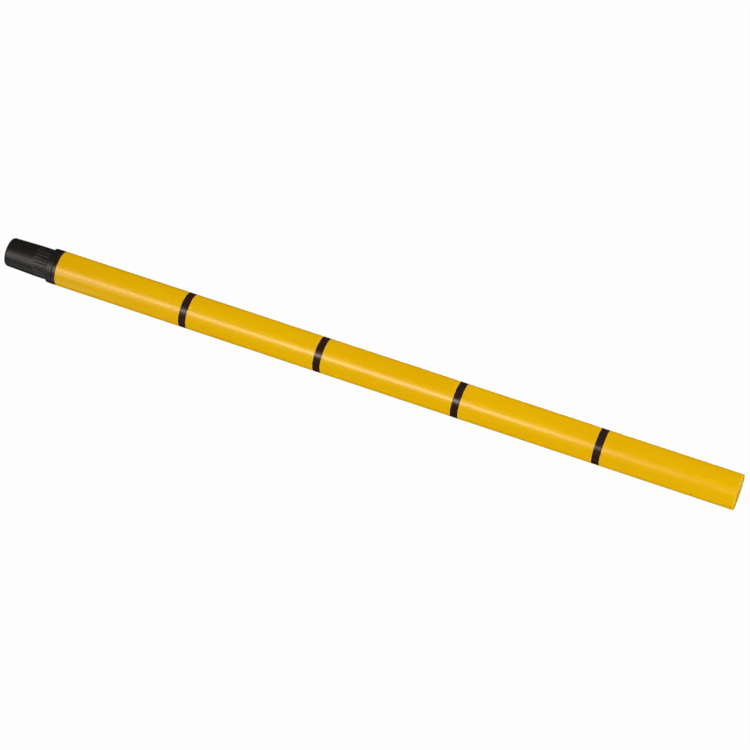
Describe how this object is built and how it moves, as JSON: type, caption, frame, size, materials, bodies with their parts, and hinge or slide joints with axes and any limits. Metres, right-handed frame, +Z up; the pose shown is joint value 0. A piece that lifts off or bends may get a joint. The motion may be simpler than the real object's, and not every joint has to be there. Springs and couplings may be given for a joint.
{
  "type": "telescopic marker bollard",
  "caption": "Slim retractable marker bollard: a yellow sleeve with black bands slides up an inner stem and is held by a twist lock, on a black foot with a ribbed ground spigot.",
  "frame": {"origin": "centre of the foot's shoulder, where the post rests on its ground socket", "axes": "+Z up the post towards the cap; the spigot points along -Z; X lies along the two cross pins"},
  "size_m": [0.05, 0.05, 1.0808],
  "materials": {
    "sleeve_yellow": "extruded plastic tube, coloured right through, soft gloss",
    "cap_yellow": "moulded plastic, soft gloss",
    "band_black": "thin plastic band, satin",
    "foot_black": "moulded glass-filled plastic, satin, faint flow lines",
    "bush_black": "moulded plastic, satin",
    "stem_black": "black anodised aluminium, fine draw lines",
    "rubber_black": "matt rubber",
    "zinc_steel": "zinc-plated steel",
    "plain_aluminium": "turned aluminium",
    "lock_plastic": "moulded acetal, satin",
    "insert_brass": "turned brass"
  },
  "bodies": {
    "stem": {"foot_spigot": "foot_black", "seat_ring": "rubber_black", "foot_bolt": "zinc_steel", "foot_washer": "zinc_steel", "lower_plug": "plain_aluminium", "cross_pins": "zinc_steel", "stem_tube": "stem_black", "stop_collar": "plain_aluminium", "stop_collar_pins": "zinc_steel", "guide_ring": "lock_plastic", "upper_plug": "plain_aluminium", "lock_spindle": "zinc_steel", "spindle_jam_nut": "zinc_steel", "thrust_washer": "lock_plastic", "stop_washer": "zinc_steel", "stop_nut": "zinc_steel"},
    "lock_jaws": {"lock_collet": "lock_plastic", "friction_rings": "rubber_black"},
    "wedge": {"wedge_cone": "lock_plastic", "wedge_insert": "insert_brass"},
    "sleeve": {"sleeve_tube": "sleeve_yellow", "mouth_bush": "bush_black", "wiper_seal": "rubber_black", "lift_buffer": "rubber_black", "top_cap": "cap_yellow", "cap_pad": "rubber_black", "marking_band_1": "band_black", "marking_band_2": "band_black", "marking_band_3": "band_black", "marking_band_4": "band_black"}
  },
  "joints": [
    {"name": "lock_twist", "type": "hinge", "parent": "stem", "child": "lock_jaws", "pos_m": [0, 0, 0.9328], "axis": [0, 0, 1], "range_deg": [0, 180]},
    {"name": "wedge_travel", "type": "slide", "parent": "lock_jaws", "child": "wedge", "axis": [0, 0, 1], "range_m": [0, 0.0015]},
    {"name": "sleeve_lift", "type": "slide", "parent": "lock_jaws", "child": "sleeve", "axis": [0, 0, 1], "range_m": [0, 0.7]}
  ],
  "couplings": [
    {"joint": "wedge_travel", "follows": "lock_twist", "m_per_rad": 0.00047746}
  ]
}
